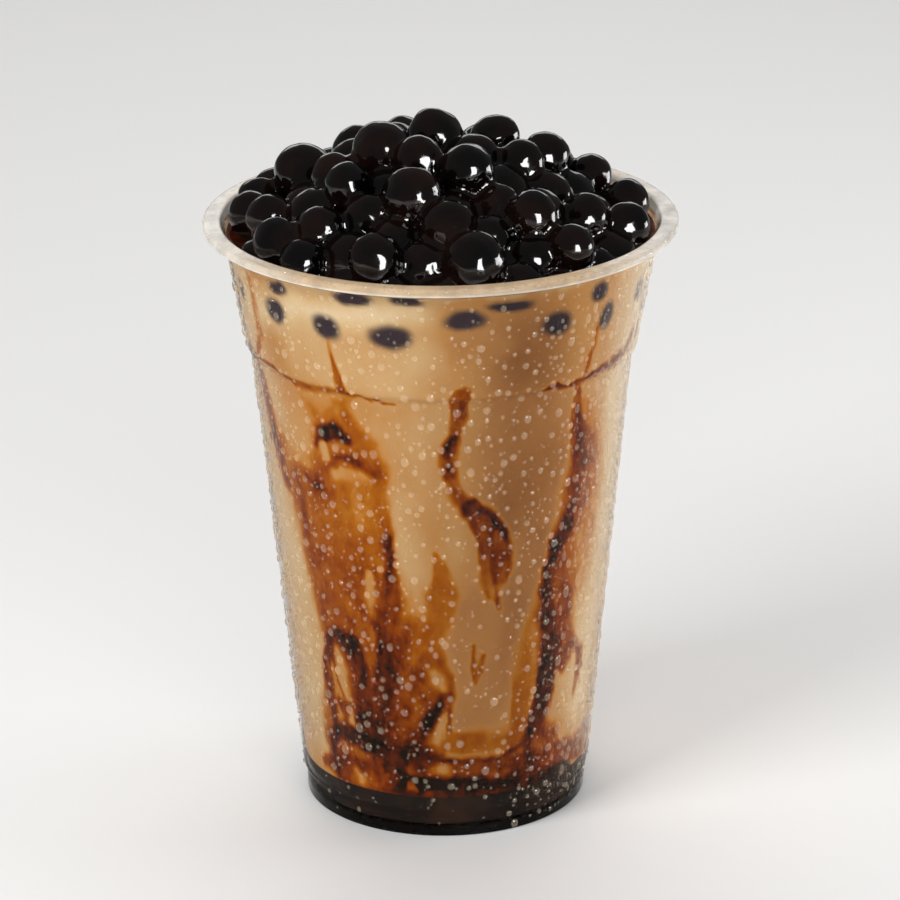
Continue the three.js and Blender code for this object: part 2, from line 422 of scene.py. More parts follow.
# Syrup: 0 is milk, 0.3 amber, 0.6 brown and 1 black; then the same softness and route
streaks = [
    (0.1, 8, [(8, 118, 4), (28, 117, 4), (50, 115, 3)]),
    (0.42, 1.4, [(-62, 116, 0.7), (-63, 109, 0.8), (-64, 104, 0.9), (-70, 98, 0.8)]),
    (0.34, 5.0, [(-31, 95, 2), (-36, 89, 5), (-34, 82, 9), (-34, 74, 11), (-36, 66, 9)]),
    (0.33, 4.1, [(-62, 82, 3.0), (-56, 74, 4.0), (-50, 66, 4.6), (-46, 56, 4.0)]),
    (0.34, 4.6, [(-33, 92, 2.0), (-27, 84, 3.4), (-25, 74, 4.0), (-27, 66, 5)]),
    (0.6, 1.2, [(-86, 97, 0.9), (-64, 97.4, 0.6), (-51, 97.2, 0.6), (-39, 97.2, 0.5), (-29, 97, 0.4),
        (-13, 97, 0.15)]),
    (0.45, 1.1, [(-33, 111, 0.25), (-33, 104, 0.5), (-32, 101, 0.8), (-31, 98, 1.0)]),
    (0.36, 2.2, [(-48, 95, 0.7), (-43, 92, 1.6), (-40, 87, 1.8)]),
    (0.06, 2.7, [(-55, 92, 2.4), (-52, 88, 2.6), (-48, 84, 1.6)]),
    (0.66, 1.9, [(-80, 97, 1.6), (-74, 92, 2.0), (-69, 86, 2.0), (-66, 80, 1.7), (-61, 73, 1.2)]),
    (0.44, 3.0, [(-30, 90, 1.6), (-24, 86, 2.0), (-21, 81, 1.2)]),
    (0.86, 1.6, [(-42, 84.4, 0.9), (-39.4, 87, 1.8), (-35, 88, 1.9), (-31, 86.8, 0.9)]),
    (0.52, 2.4, [(-43, 75.5, 2.0), (-38, 80.5, 1.6), (-30, 82.8, 1.6), (-21, 80.6, 2.2), (-24, 77, 1.6),
        (-32, 75.0, 1.8), (-43, 75, 1.8)]),
    (0.76, 1.5, [(-34, 82.2, 0.4), (-29, 83.0, 0.9), (-22, 80.6, 1.1)]),
    (0.74, 2.2, [(-47, 76, 1.2), (-41, 74.4, 1.6), (-35, 73.8, 1.3), (-28, 75.6, 0.6)]),
    (0.03, 1.2, [(-40, 84, 1.2), (-38, 81.6, 1.0)]),
    (0.05, 1.2, [(-36, 78.2, 1.0), (-31, 79.2, 1.1), (-26, 80.1, 0.6)]),
    (0.6, 3.0, [(-54, 75, 1.2), (-52, 71, 1.9), (-51, 67, 1.7), (-50, 60, 1.6), (-48, 50, 1.6),
        (-46, 44, 1.6)]),
    (0.46, 3.0, [(-22, 76, 1.6), (-19, 71, 2.0), (-20, 62, 2.0)]),
    (0.42, 4.0, [(-38, 68, 7), (-36, 60, 8.0), (-34, 52, 7.6), (-33, 42, 7.0)]),
    (0.26, 6, [(-28, 77, 3.5), (-27, 71, 3)]),
    (0.5, 5, [(-30, 57, 4), (-26, 50, 4)]),
    (0.5, 4.1, [(-44, 60, 2.4), (-42, 50, 3.0), (-38, 44, 3.6)]),
    (0.3, 4.0, [(-20, 60, 1.6), (-17, 55, 2.6), (-15, 48, 4.0)]),
    (0.54, 3.0, [(-12, 44, 4.6), (-12, 38, 6.0), (-13, 30, 7.2), (-18, 23, 9.0)]),
    (0.12, 1.4, [(-27.5, 59, 0.7), (-27, 54, 1.2), (-26.5, 49, 0.6)]),
    (0.74, 2.4, [(-18, 66, 0.5), (-19.5, 60, 1.1), (-22, 52, 1.3), (-23, 47, 1.6), (-22, 41, 2.4),
        (-22, 35, 3.0), (-23, 28, 2.8), (-26, 20, 3.4)]),
    (0.56, 1.4, [(-18, 57, 0.6), (-16.5, 53, 1.2), (-18, 48, 1.2)]),
    (0.36, 2.4, [(-48, 34, 2.0), (-49, 27, 2.4), (-50, 18, 2.6)]),
    (0.56, 2.2, [(-44, 41, 2.0), (-40, 36, 4.4), (-38, 29, 4.8), (-38, 22, 4.4)]),
    (0.82, 1.8, [(-45, 41, 1.2), (-40, 43.4, 1.6), (-35, 41, 1.7), (-32, 36, 1.5), (-30.6, 29, 1.7),
        (-31, 22, 2.2)]),
    (0.64, 1.2, [(-46, 40, 0.9), (-50, 36, 0.9), (-49, 31, 0.9), (-47, 25, 0.9), (-46, 20, 1.2)]),
    (0.07, 1.6, [(-40.6, 39, 0.6), (-39.4, 34, 1.2), (-38.4, 29, 0.7)]),
    (0.22, 1.6, [(-44, 35, 0.8), (-43, 30, 1.0), (-43, 24, 0.9)]),
    (0.07, 1.2, [(-37, 26, 0.5), (-37, 22, 1.1)]),
    (0.62, 1.6, [(-43, 28, 0.8), (-40, 25.6, 1.3)]),
    (0.38, 2.4, [(-2, 64, 1.0), (-1, 58, 2.0), (-1, 53, 3.6), (-2, 49, 3.2), (-5, 45, 2.8), (-8, 41, 2.4)]),
    (0.6, 1.6, [(-8, 40, 0.8), (-2, 40, 1.0), (2, 36.4, 1.0), (2.4, 32.4, 1.2)]),
    (0.04, 1.2, [(-4.4, 37, 0.7), (-2, 35, 1.1), (-0.4, 33.6, 0.7)]),
    (0.84, 1.5, [(-1, 31, 1.1), (-4, 28, 1.1), (-8, 24.6, 0.9), (-12, 20, 1.1)]),
    (0.58, 1.1, [(1.5, 31, 0.7), (2, 26, 0.6), (0.6, 21, 0.7), (-3, 18.4, 0.7)]),
    (0.06, 1.5, [(-1.2, 26.5, 0.8), (-2.6, 23.5, 1.2), (-4.4, 21, 0.6)]),
    (0.52, 1.2, [(4.4, 98, 2.2), (4, 94, 1.8), (3.6, 91, 1.5), (3, 88.6, 1.2)]),
    (0.9, 1.4, [(2.4, 88.4, 1.3), (1.6, 84, 1.3), (2, 81, 1.1)]),
    (0.56, 2.6, [(2, 81, 1.0), (4, 77, 1.3), (9, 73.4, 1.8)]),
    (0.8, 2.2, [(9, 73.6, 1.5), (12, 72, 2.0), (16, 70.4, 1.6), (20, 67.6, 1.4), (22, 64, 1.0),
        (22.6, 60, 0.8)]),
    (0.58, 1.9, [(12, 69.6, 1.8), (16, 65, 3.0), (18, 60, 2.4), (19.6, 56, 0.8)]),
    (0.14, 1.2, [(13.4, 62, 1.0), (15, 58, 0.7)]),
    (0.45, 1.6, [(14, 62, 1.6), (14, 57, 1.6), (15, 53, 0.8)]),
    (0.66, 0.9, [(15.6, 67.4, 0.9), (16.8, 62, 0.5), (18, 58, 0.4), (18.6, 54.6, 0.3), (18, 52, 0.8),
        (18.4, 50.6, 0.5)]),
    (0.66, 0.9, [(22, 64, 0.8), (22.6, 60, 1.0), (21.4, 56.4, 0.5)]),
    (0.56, 0.8, [(11, 43.6, 0.4), (12, 39, 0.7), (13.2, 34.6, 0.3)]),
    (0.4, 0.8, [(15.4, 41, 0.6), (14.6, 37.6, 1.1), (13.6, 34.6, 0.4)]),
    (0.66, 1.2, [(31, 96.8, 0.4), (34, 97.4, 0.8), (40, 97.8, 0.9), (54, 98.4, 0.9), (64, 99, 1.4),
        (74, 101, 1.4)]),
    (0.46, 1.4, [(49, 112, 0.5), (48.4, 105, 0.5), (47, 99, 0.7)]),
    (0.28, 5, [(50, 92, 1.6), (55, 82, 3.6), (55, 72, 4.6), (52, 62, 5.4), (48, 52, 5.0), (46, 43, 3.4)]),
    (0.5, 3.4, [(46, 98, 0.9), (45, 93, 1.8), (46, 88, 2.4), (49, 83, 3.8), (50, 78, 4.2), (48, 73, 4.0),
        (47, 68, 3.4), (43, 63, 3.0)]),
    (0.66, 3.4, [(46, 92, 0.7), (48, 86, 1.4), (50, 80, 2.2), (47, 74, 2.4), (49, 69, 2.4), (46, 66, 2.5),
        (42, 62, 2.5)]),
    (0.8, 2.2, [(46, 66, 1.6), (41, 62, 2.1), (37.6, 58, 2.3), (37.4, 53, 2.3), (39, 48, 2.1)]),
    (0.56, 2.6, [(44, 57, 2.0), (47, 50, 2.2), (48, 42, 3.0), (50, 34, 2.4)]),
    (0.74, 2.4, [(39, 48, 2.2), (41.4, 43, 2.6), (42, 38, 2.9), (41, 33, 2.9)]),
    (0.54, 2.6, [(36, 22, 2.5), (44, 19, 3.0)]),
    (0.82, 2.0, [(41, 35, 2.2), (40.6, 30, 2.4), (38, 25.6, 2.2), (34, 22, 2.2), (29.6, 19.6, 1.7),
        (24, 17.8, 0.8)]),
    (0.36, 2.4, [(32.6, 48, 1.2), (30.4, 41, 2.6), (30, 33, 3.0), (29.4, 27, 2.6), (26, 21, 2.0)]),
    (0.58, 2.6, [(54, 38, 1.2), (61, 34.6, 1.4), (61, 30, 1.0), (59, 27, 0.8)]),
    (0.06, 2.2, [(55, 33, 1.6), (52.6, 28, 2.6), (49, 23, 2.0)]),
    (0.4, 3.4, [(3, 21.4, 2.6), (13, 21.6, 2.8), (23, 22, 2.4)]),
    (0.58, 2.4, [(-57, 11.4, 1.6), (-47, 12.4, 2.2)]),
    (0.65, 2.2, [(-46, 14, 2.6), (-33, 13.6, 3.6), (-22, 12, 3.4)]),
    (0.46, 2.2, [(-40, 13.6, 0.8), (-34, 11.8, 1.4), (-30, 11.6, 0.9)]),
    (0.58, 2.2, [(4, 16, 1.8), (16, 15.4, 2.0), (25, 15.2, 2.2), (38, 13.8, 3.4), (56, 12.6, 3.6),
        (74, 12.5, 3.6)]),
    (0.88, 1.8, [(-49, 19.4, 1.2), (-44, 20.6, 1.7), (-36, 20.8, 2.1), (-28, 20.4, 2.2), (-20, 19.4, 1.9),
        (-13, 18.4, 1.3), (-6, 17.9, 0.8), (2, 17.6, 0.6), (12, 17.5, 0.35), (22, 17.6, 0.5)]),
    (0.76, 2.4, [(-48, 18, 1.0), (-49, 13, 1.0), (-46, 10, 1.2), (-36, 8.6, 1.0)]),
    (0.8, 3.0, [(-24, 17, 1.8), (-19, 13, 2.6), (-15, 9.4, 2.4)]),
    (0.8, 2.4, [(-15, 17.4, 1.6), (-8, 16.2, 1.8)]),
    (1.15, 2.4, [(-14, 12.2, 1.6), (-4, 11.6, 2.2), (6, 10.8, 2.8), (18, 10.2, 2.8), (30, 9.4, 2.4),
        (44, 8.8, 1.8), (60, 8.6, 0.8)]),
    (0.72, 2.2, [(34, 20, 1.0), (33, 15, 1.6), (30, 11, 1.6)]),
    (0.12, 1.2, [(-37, 13, 0.5), (-34, 10.6, 0.9)]),
    (0.52, 1.6, [(-13.5, 11.8, 1.1), (-12, 8.6, 1.0)]),
    (0.8, 1.8, [(-45, 8.4, 0.5), (-34, 8.2, 0.6), (-22, 8.4, 1.0), (0, 9, 1.8), (24, 9, 1.4), (44, 8.6, 0.8),
        (60, 8.4, 0.4)]),
]
# Pearls that lie against the wall in the drink: angle, height, half width, half height
wallPearls = [
    (-49, 117.2, 3.0, 1.6), (-24, 118.6, 4.2, 1.5), (-9, 119, 3.6, 1.2), (19, 117.4, 5.0, 1.2),
    (47, 116.2, 2.6, 2.2), (-72, 112, 2.2, 2.4), (-52, 112, 3.1, 2.8), (-33, 111.6, 3.6, 2.9),
    (-14, 111.2, 4.8, 2.8), (6.5, 114.8, 4.7, 2.3), (33, 112, 3.6, 2.9), (52, 110.5, 2.6, 3.2),
    (72, 111.5, 3.0, 2.6), (84, 107, 3.0, 3.0), (94, 114, 3.4, 2.4), (112, 111, 3.8, 2.8),
    (127, 116.8, 3.6, 1.6), (135, 110.6, 3.2, 2.8), (154, 112, 4.2, 2.6), (171, 117.5, 4.0, 1.4),
    (180, 111.2, 3.6, 2.9), (204, 112.4, 4.4, 2.5), (222, 117, 3.8, 1.5), (231, 110.8, 3.2, 2.8),
    (252, 112.2, 4.0, 2.6), (268, 116.8, 3.4, 1.6), (275, 110.6, 2.8, 2.8),
]


def smooth(values):
    values = np.clip(values, 0, 1)
    return values * values * (3 - 2 * values)


def angleApart(angle, other):
    return (angle - other + 180) % 360 - 180


def painted(start, strokes, angle, height, blur):
    field = np.full(len(angle), float(start))
    for value, soft, route in strokes:
        nearest = np.full(len(angle), np.inf)
        for (a, h, w), (nextA, nextH, nextW) in zip(route, route[1:]):
            radius = insideRadius((h + nextH) / 2)
            across = np.radians(angleApart(angle, a)) * radius
            up = height - h
            stepAcross = math.radians(nextA - a) * radius
            stepUp = nextH - h
            share = np.clip((across * stepAcross + up * stepUp) / (stepAcross ** 2 + stepUp ** 2), 0, 1)
            apart = np.hypot(across - share * stepAcross, up - share * stepUp)
            nearest = np.minimum(nearest, apart - (w + (nextW - w) * share))
        field += (value - field) * smooth(0.5 - nearest / (soft * blur))
    return field


def backHeight(height):
    if height >= tea["backEnd"]:
        return height
    return tea["backStart"] + (height - tea["backStart"]) * tea["backShorter"]


def onBack(strokes):
    turned = []
    for value, soft, route in strokes:
        turned.append((value, soft, [(tea["backTurn"] + a, backHeight(h), w) for a, h, w in route]))
    return turned


def teaProfile():
    low, high = cup["footBandTop"], drinkTop
    rows = int((high - low) / tea["rowHeight"])
    wall = [low + (high - low) * i / rows for i in range(rows + 1)]
    side = [(insideRadius(z) + intoWall, z) for z in wall]
    edge = [(radius, drinkTop + climb) for radius, climb in tea["edgeRings"]]
    top = [(radius, drinkTop) for radius in tea["topRings"]]
    return [(0, low), (tea["bottomRing"], low)] + side + edge + top


def noiseAt(points, across, up, amount):
    scale = Vector((across, across, up))
    return np.array([noise.noise_vector(Vector(p) * scale) for p in points]) * amount


# How much syrup, how pale a milk (partly painted light and shade) and how much of a sunk pearl shows at each
# point of the tea
def teaFields(piece):
    noise.seed_set(tea["seed"])
    count = len(piece.data.vertices)
    points = np.empty(count * 3)
    piece.data.vertices.foreach_get("co", points)
    points = points.reshape(-1, 3) / mm
    warp = noiseAt(points, *tea["warp"]) + noiseAt(points, *tea["ragged"])
    radius = np.hypot(points[:, 0], points[:, 1])
    angle = np.degrees(np.arctan2(points[:, 0], -points[:, 1]) + warp[:, 0] / insideRadius(points[:, 2]))
    height = points[:, 2] + warp[:, 2]
    leastBlur, moreBlur = tea["blur"]
    blur = leastBlur + moreBlur * smooth(0.5 + noiseAt(points, *tea["blurNoise"])[:, 1])
    syrup = painted(0, onBack(streaks) + streaks, angle, height, blur)
    pale = painted(tea["paleness"], onBack(milkToneAndShade) + milkToneAndShade, angle, height, 1)
    shade = np.zeros(count)
    pearlAngle = angle - np.degrees(warp[:, 0] / (2 * tea["pearlsFromAxis"]))  # pearls move half as far
    pearlHeight = height - 0.5 * warp[:, 2]
    for a, h, wide, tall in wallPearls:
        across = np.radians(angleApart(pearlAngle, a)) * insideRadius(h)
        off = np.hypot(across / wide, (pearlHeight - h) / tall)
        shade = np.maximum(shade, smooth((tea["pearlReach"] - off) * tea["pearlSharpness"]))
    # The drink's top, under and between the pearls, is made nearly black, a little paler at its edge
    onTop = points[:, 2] > drinkTop - 0.02
    syrup[onTop] = (tea["topDarkness"] - tea["topEdgePaler"] * smooth(radius - tea["topEdge"]))[onTop]
    shade[onTop] = 0
    for name, values in (("syrup", syrup), ("pale", pale), ("sunkPearl", shade)):
        layer = piece.data.attributes.new(name, "FLOAT", "POINT")
        layer.data.foreach_set("value", values.astype(np.float32))


def attributeFac(tree, name):
    node = tree.nodes.new("ShaderNodeAttribute")
    node.attribute_name = name
    return node.outputs["Fac"]


def teaMaterial():
    material, tree, milk = newMaterial("milk tea and syrup")
    place = tree.nodes.new("ShaderNodeTexCoord")
    thickness = attributeFac(tree, "syrup")
    for grain in ("runs", "specks", "blotches"):
        thickness = mathNode(tree, "MULTIPLY", thickness, unevenness(tree, place, *tea[grain]))
    # Paleness: partly the milk's own tone, partly painted light and shade
    pale = mathNode(tree, "ADD", attributeFac(tree, "pale"), unevenness(tree, place, *tea["drift"]))
    stain = mathNode(tree, "MULTIPLY", thickness, tea["stain"], clamp=True)
    milkTone = ramp(tree, pale, tea["milkToneAndShade"])
    syrupTone = ramp(tree, thickness, tea["syrupTones"])
    tone = mixColours(tree, stain, milkTone, syrupTone)
    tone = mixColours(tree, attributeFac(tree, "sunkPearl"), tone, tea["sunkPearl"])
    tree.links.new(tone, milk.inputs["Base Color"])
    milk.inputs["Roughness"].default_value = tea["roughness"]
    milk.inputs["Specular IOR Level"].default_value = tea["specular"]
    return material


teaPiece = turnedShape("milk_tea_and_streaks", teaProfile(), tea["roundSteps"])
teaFields(teaPiece)
dress(teaPiece, teaMaterial(), "milk_tea", "milk_tea")
print("tea made:", len(teaPiece.data.polygons), "faces")

# The dark syrup that lies at the bottom
bottomSyrup = {
    "middle": 6,
    "overTea": 0.05,
    "swell": 0.1,
    "swellFrom": 3,  # in from the wall
    "cloud": ((120, 120, 120), 2),  # noise: scale, detail
    "tones": [(0.4, (0.010, 0.007, 0.006)), (0.75, (0.03, 0.014, 0.008))],
    "roughness": 0.16,
    "specular": 0.05,
}


def bottomSyrupProfile():
    floor = cup["baseRecess"] + cup["wall"] - intoWall
    edge = cup["floorEdge"]
    rim = insideRadius(floor + edge) + intoWall
    middle = bottomSyrup["middle"]
    top = cup["footBandTop"] + bottomSyrup["overTea"]
    return [
        (0, floor),
        *roundedEdge(rim - edge, floor + edge, edge, edge, -90, 0, 6),
        (insideRadius(middle) + intoWall, middle),
        (insideRadius(top) + intoWall, top),
        (insideRadius(top) - bottomSyrup["swellFrom"], top + bottomSyrup["swell"]),
        (0, top + bottomSyrup["swell"]),
    ]


def bottomSyrupMaterial():
    material, tree, syrup = newMaterial("dark syrup")
    place = tree.nodes.new("ShaderNodeTexCoord")
    tone = ramp(tree, noiseFac(tree, place, *bottomSyrup["cloud"]), bottomSyrup["tones"])
    tree.links.new(tone, syrup.inputs["Base Color"])
    syrup.inputs["Roughness"].default_value = bottomSyrup["roughness"]
    syrup.inputs["Specular IOR Level"].default_value = bottomSyrup["specular"]
    return material


syrupPiece = turnedShape("bottom_syrup", bottomSyrupProfile(), cup["roundSteps"])
dress(syrupPiece, bottomSyrupMaterial(), "syrup", "syrup_layer")
print("bottom syrup made")

# The pearls, laid by the same rule as the solid's, then coated with syrup and joined by it
heap = {
    "edge": 120.2,  # the dome that the pearls' centres are laid on
    "rise": 17.6,
    "reach": 42.2,
    "room": 42.4,  # the inside of the cup
    "coreEdge": 117.3,
    "coreRise": 16.2,
    "coreLower": 0.6,  # than the solid's own core
    "coreLeast": 0.3,  # under the drink's top, at the edge
    "coreDepth": 3,
    "coreSteps": 8,
    "coreRoundSteps": 96,
    "seed": 34,
    "loose": 60,
    "radiusMin": 4.1,
    "radiusMax": 5.6,
    "turn": 2.39996323,  # radians from one loose pearl to the next
    "sunk": 3,  # how far under the dome a loose pearl may lie
    "sunkMost": 6,  # and how far others may press it down
    "settle": 0.08,
    "press": 0.97,  # how close two pearls come, of their two radii
    "rounds": 150,
}
proudPearls = [  # x, y, radius
    (-1.0, 7.7, 5.6), (-11.5, -0.6, 6.1), (-5.5, -20.0, 5.8), (5.3, -12.1, 5.5),
    (21.2, 8.2, 4.9), (-27.4, 8.2, 5.9), (37.6, 6.0, 4.7), (-38.0, 0.9, 4.4),
    (6.6, -36.0, 6.1), (-12.7, -34.0, 5.4), (-32.0, -19.5, 4.9), (18.0, -21.7, 4.8),
    (-18.3, -12.0, 4.6), (11.1, 15.1, 5.0), (25.5, -26.0, 4.4), (30.3, 13.0, 4.4),
]
coat = {
    "neck": 0.5,  # how far apart pearls are still joined by syrup
    "drawnIn": 0.3,
    "grain": 0.44,  # voxel size
    "dents": (8.0, 1.1),  # size, depth
    "ripples": (2.6, 0.28),
    "dentMiddle": 0.56,
    "smoothing": 6,
    "bottom": 0.6,  # under the drink's top
    "cloud": ((110, 110, 110), 3),  # noise: scale, detail
    "tones": [(0.35, (0.001, 0.001, 0.001)), (0.72, (0.008, 0.003, 0.002))],
    "film": ((380, 380, 380), 1),  # the syrup's own slight waves
    "filmStrength": 0.3,
    "filmDepth": 0.4,
    "roughness": 0.09,
    "refraction": 1.46,
}


def drawsFrom(seed):
    state = seed
    while True:
        state = (1664525 * state + 1013904223) % 4294967296
        yield state / 4294967296


def domeHeight(x, y, edge, rise):
    return edge + rise * (1 - (x * x + y * y) / heap["reach"] ** 2)


def centreHeight(pearl):
    return domeHeight(pearl["x"], pearl["y"], heap["edge"], heap["rise"]) - pearl["sunk"]


def partPearls(one, other):
    alongX, alongY = one["x"] - other["x"], one["y"] - other["y"]
    rise = centreHeight(one) - centreHeight(other)
    apart = math.sqrt(alongX ** 2 + alongY ** 2 + rise ** 2)
    touch = heap["press"] * (one["radius"] + other["radius"])
    if apart >= touch or (one["proud"] and other["proud"]):
        return
    push = (touch - apart) / apart
    share = 0 if one["proud"] else 1 if other["proud"] else 0.5
    one["x"] += alongX * push * share
    one["y"] += alongY * push * share
    other["x"] -= alongX * push * (1 - share)
    other["y"] -= alongY * push * (1 - share)
    lower = one if rise < 0 else other
    if not lower["proud"]:
        lower["sunk"] = min(lower["sunk"] + push * abs(rise), heap["sunkMost"])


def layPearls():
    draws = drawsFrom(heap["seed"])
    pearls = [{"x": x, "y": y, "radius": r, "sunk": 0, "rest": 0, "proud": True} for x, y, r in proudPearls]
    for i in range(heap["loose"]):
        spread = (next(draws) + next(draws)) * 0.5
        radius = heap["radiusMin"] + (heap["radiusMax"] - heap["radiusMin"]) * spread
        rest = heap["sunk"] * next(draws)
        out = (heap["room"] - radius) * math.sqrt((i + 0.5) / heap["loose"])
        turn = heap["turn"] * i
        pearls.append({"x": out * math.cos(turn), "y": out * math.sin(turn), "radius": radius,
                       "sunk": rest, "rest": rest, "proud": False})
    for _ in range(heap["rounds"]):
        for pearl in pearls:
            pearl["sunk"] += (pearl["rest"] - pearl["sunk"]) * heap["settle"]
        for i, one in enumerate(pearls):
            for other in pearls[:i]:
                partPearls(one, other)
        for pearl in pearls:
            within = min(1, (heap["room"] - pearl["radius"]) / math.hypot(pearl["x"], pearl["y"]))
            pearl["x"] *= within
            pearl["y"] *= within
    return pearls


def coreProfile():
    low = drinkTop - heap["coreDepth"]
    profile = [(0, low), (heap["room"], low)]
    for i in range(heap["coreSteps"] + 1):
        out = heap["room"] * (1 - i / heap["coreSteps"])
        dome = domeHeight(out, 0, heap["coreEdge"], heap["coreRise"]) - heap["coreLower"]
        profile.append((out, max(dome, drinkTop - heap["coreLeast"])))
    return profile


def applied(piece, name, kind, **settings):
    modifier = piece.modifiers.new(name, kind)
    for setting, value in settings.items():
        setattr(modifier, setting, value)
    bpy.ops.object.modifier_apply(modifier=name)


def pearlBalls(pearls):
    balls = []
    for pearl in pearls:
        bpy.ops.mesh.primitive_ico_sphere_add(
            subdivisions=4,
            radius=(pearl["radius"] + coat["neck"]) * mm,
            location=(pearl["x"] * mm, pearl["y"] * mm, centreHeight(pearl) * mm),
        )
        balls.append(bpy.context.object)
    bpy.ops.object.select_all(action="DESELECT")
    for ball in balls:
        ball.select_set(True)
    bpy.context.view_layer.objects.active = balls[0]
    bpy.ops.object.join()
    bpy.ops.object.transform_apply(location=True, rotation=True, scale=True)
    return bpy.context.object


def heapPiece(pearls):
    core = turnedShape("core", coreProfile(), heap["coreRoundSteps"])
    piece = pearlBalls(pearls)
    for name in ("dents", "ripples"):
        size, depth = coat[name]
        texture = bpy.data.textures.new(name, "CLOUDS")
        texture.noise_scale = size * mm
        applied(piece, name, "DISPLACE", texture=texture, texture_coords="LOCAL",
                strength=depth * mm, mid_level=coat["dentMiddle"])
    core.select_set(True)
    bpy.ops.object.join()
    piece.name = "pearls_in_syrup"
    applied(piece, "joined", "REMESH", mode="VOXEL", voxel_size=coat["grain"] * mm)
    applied(piece, "drawn in", "DISPLACE", strength=-coat["drawnIn"] * mm, mid_level=0)
    applied(piece, "wet", "SMOOTH", factor=0.5, iterations=coat["smoothing"])
    bpy.ops.object.mode_set(mode="EDIT")
    bpy.ops.mesh.select_all(action="SELECT")
    bottom = (0, 0, (drinkTop - coat["bottom"]) * mm)
    bpy.ops.mesh.bisect(plane_co=bottom, plane_no=(0, 0, 1), use_fill=True, clear_inner=True)
    bpy.ops.mesh.select_all(action="SELECT")
    bpy.ops.mesh.normals_make_consistent(inside=False)
    bpy.ops.object.mode_set(mode="OBJECT")
    bpy.ops.object.shade_smooth()
    return piece


def pearlMaterial():
    material, tree, pearl = newMaterial("wet tapioca")
    place = tree.nodes.new("ShaderNodeTexCoord")
    tone = ramp(tree, noiseFac(tree, place, *coat["cloud"]), coat["tones"])
    tree.links.new(tone, pearl.inputs["Base Color"])
    pearl.inputs["Roughness"].default_value = coat["roughness"]
    pearl.inputs["IOR"].default_value = coat["refraction"]
    bump = tree.nodes.new("ShaderNodeBump")
    bump.inputs["Strength"].default_value = coat["filmStrength"]
    bump.inputs["Distance"].default_value = coat["filmDepth"] * mm
    tree.links.new(noiseFac(tree, place, *coat["film"]), bump.inputs["Height"])
    tree.links.new(bump.outputs[0], pearl.inputs["Normal"])
    return material


pearls = layPearls()
pearlPiece = heapPiece(pearls)
dress(pearlPiece, pearlMaterial(), "pearls", "pearl_heap")
print("pearls made:", len(pearls), "pearls,", len(pearlPiece.data.polygons), "faces")

# Drops of condensation, on the wall, the foot and the lip
drops = {
    "seed": 7,
    "sizes": [  # name, places tried, radius where few, radius where many, segments, rings
        ("drops_large", 5200, (0.5, 0.95), (0.42, 0.8), 12, 3),
        ("drops_middle", 12000, (0.24, 0.48), (0.22, 0.44), 8, 2),
        ("drops_fine", 17000, (0.09, 0.2), (0.09, 0.2), 6, 1),
    ],
    "spacing": 1.12,  # of the drops' own widths
    "cell": 2,  # of the grid in which a drop's neighbours are looked up
    "fromAxis": 36,  # the wall's mean radius, for the spacing
    "margin": 1,  # kept free at the wall's two ends
    "upwards": 0.8,  # under 1 puts more of them high up
    "wallLeast": 0.34,
    "wallWetter": [(74, 46, 0.9), (-76, 34, 0.2), (176, 80, 0.35)],  # angle, spread, how much wetter
    "footLeast": 0.10,
    "footWetter": (64, 50, 1.1),
    "aboveFoot": 2,
    "runningFrom": 0.6,  # how wet the wall is where drops begin to run
    "runningStretch": 1.5,
    "restingStretch": 0.3,
    "steepest": 0.3,
    "flat": 0.5,  # height, of the radius
    "buried": 0.06,  # in the wall, of the radius before it is flattened
    "lipTries": 1100,
    "lipRadius": (0.12, 0.38),
    "lipTurns": (-40, 130),  # degrees: the lowest place round the lip's edge, and the span
    "lipTopFrom": 70,
    "lipTopWidth": 2.0,
    "refraction": 1.33,
    # A share of pale cream diffuse: painted light that brightens the drops as light focused through them
    # would
    "milky": 0.13,
    "milk": (0.96, 0.78, 0.53),
}


def dropModel(around, rings):
    bpy.ops.object.select_all(action="DESELECT")
    bpy.ops.mesh.primitive_uv_sphere_add(segments=around, ring_count=rings * 2 + 1, radius=1)
    drop = bpy.context.object
    bpy.ops.object.mode_set(mode="EDIT")
    bpy.ops.mesh.select_all(action="SELECT")
    base = (0, 0, -drops["buried"])
    bpy.ops.mesh.bisect(plane_co=base, plane_no=(0, 0, 1), use_fill=True, clear_inner=True)
    bpy.ops.object.mode_set(mode="OBJECT")
    points = np.array([v.co for v in drop.data.vertices])
    faces = [tuple(p.vertices) for p in drop.data.polygons]
    bpy.data.objects.remove(drop)
    return points, faces


def wetter(angle, middle, spread, most):
    return most * max(0.0, 1 - abs(angleApart(angle, middle)) / spread)


# How crowded the drops are: most at the right side, on the wall and on the foot
def crowding(angle, height):
    if height < cup["footBandTop"] + drops["aboveFoot"]:
        crowd = drops["footLeast"] + wetter(angle, *drops["footWetter"])
    else:
        crowd = drops["wallLeast"] + sum(wetter(angle, *side) for side in drops["wallWetter"])
    return min(1.0, crowd)


# A place on the wall and the direction that it faces
def onWall(angle, height):
    a = math.radians(angle)
    radius = float(outsideRadius(height))
    if height < cup["footLedge"]:
        radius = cup["footRadius"] - cup["footLedgeDepth"]
    slope = float(outsideRadius(height + 0.5) - outsideRadius(height - 0.5))
    place = (radius * math.sin(a), -radius * math.cos(a), height)
    return place, (math.sin(a), -math.cos(a), -min(slope, drops["steepest"]))


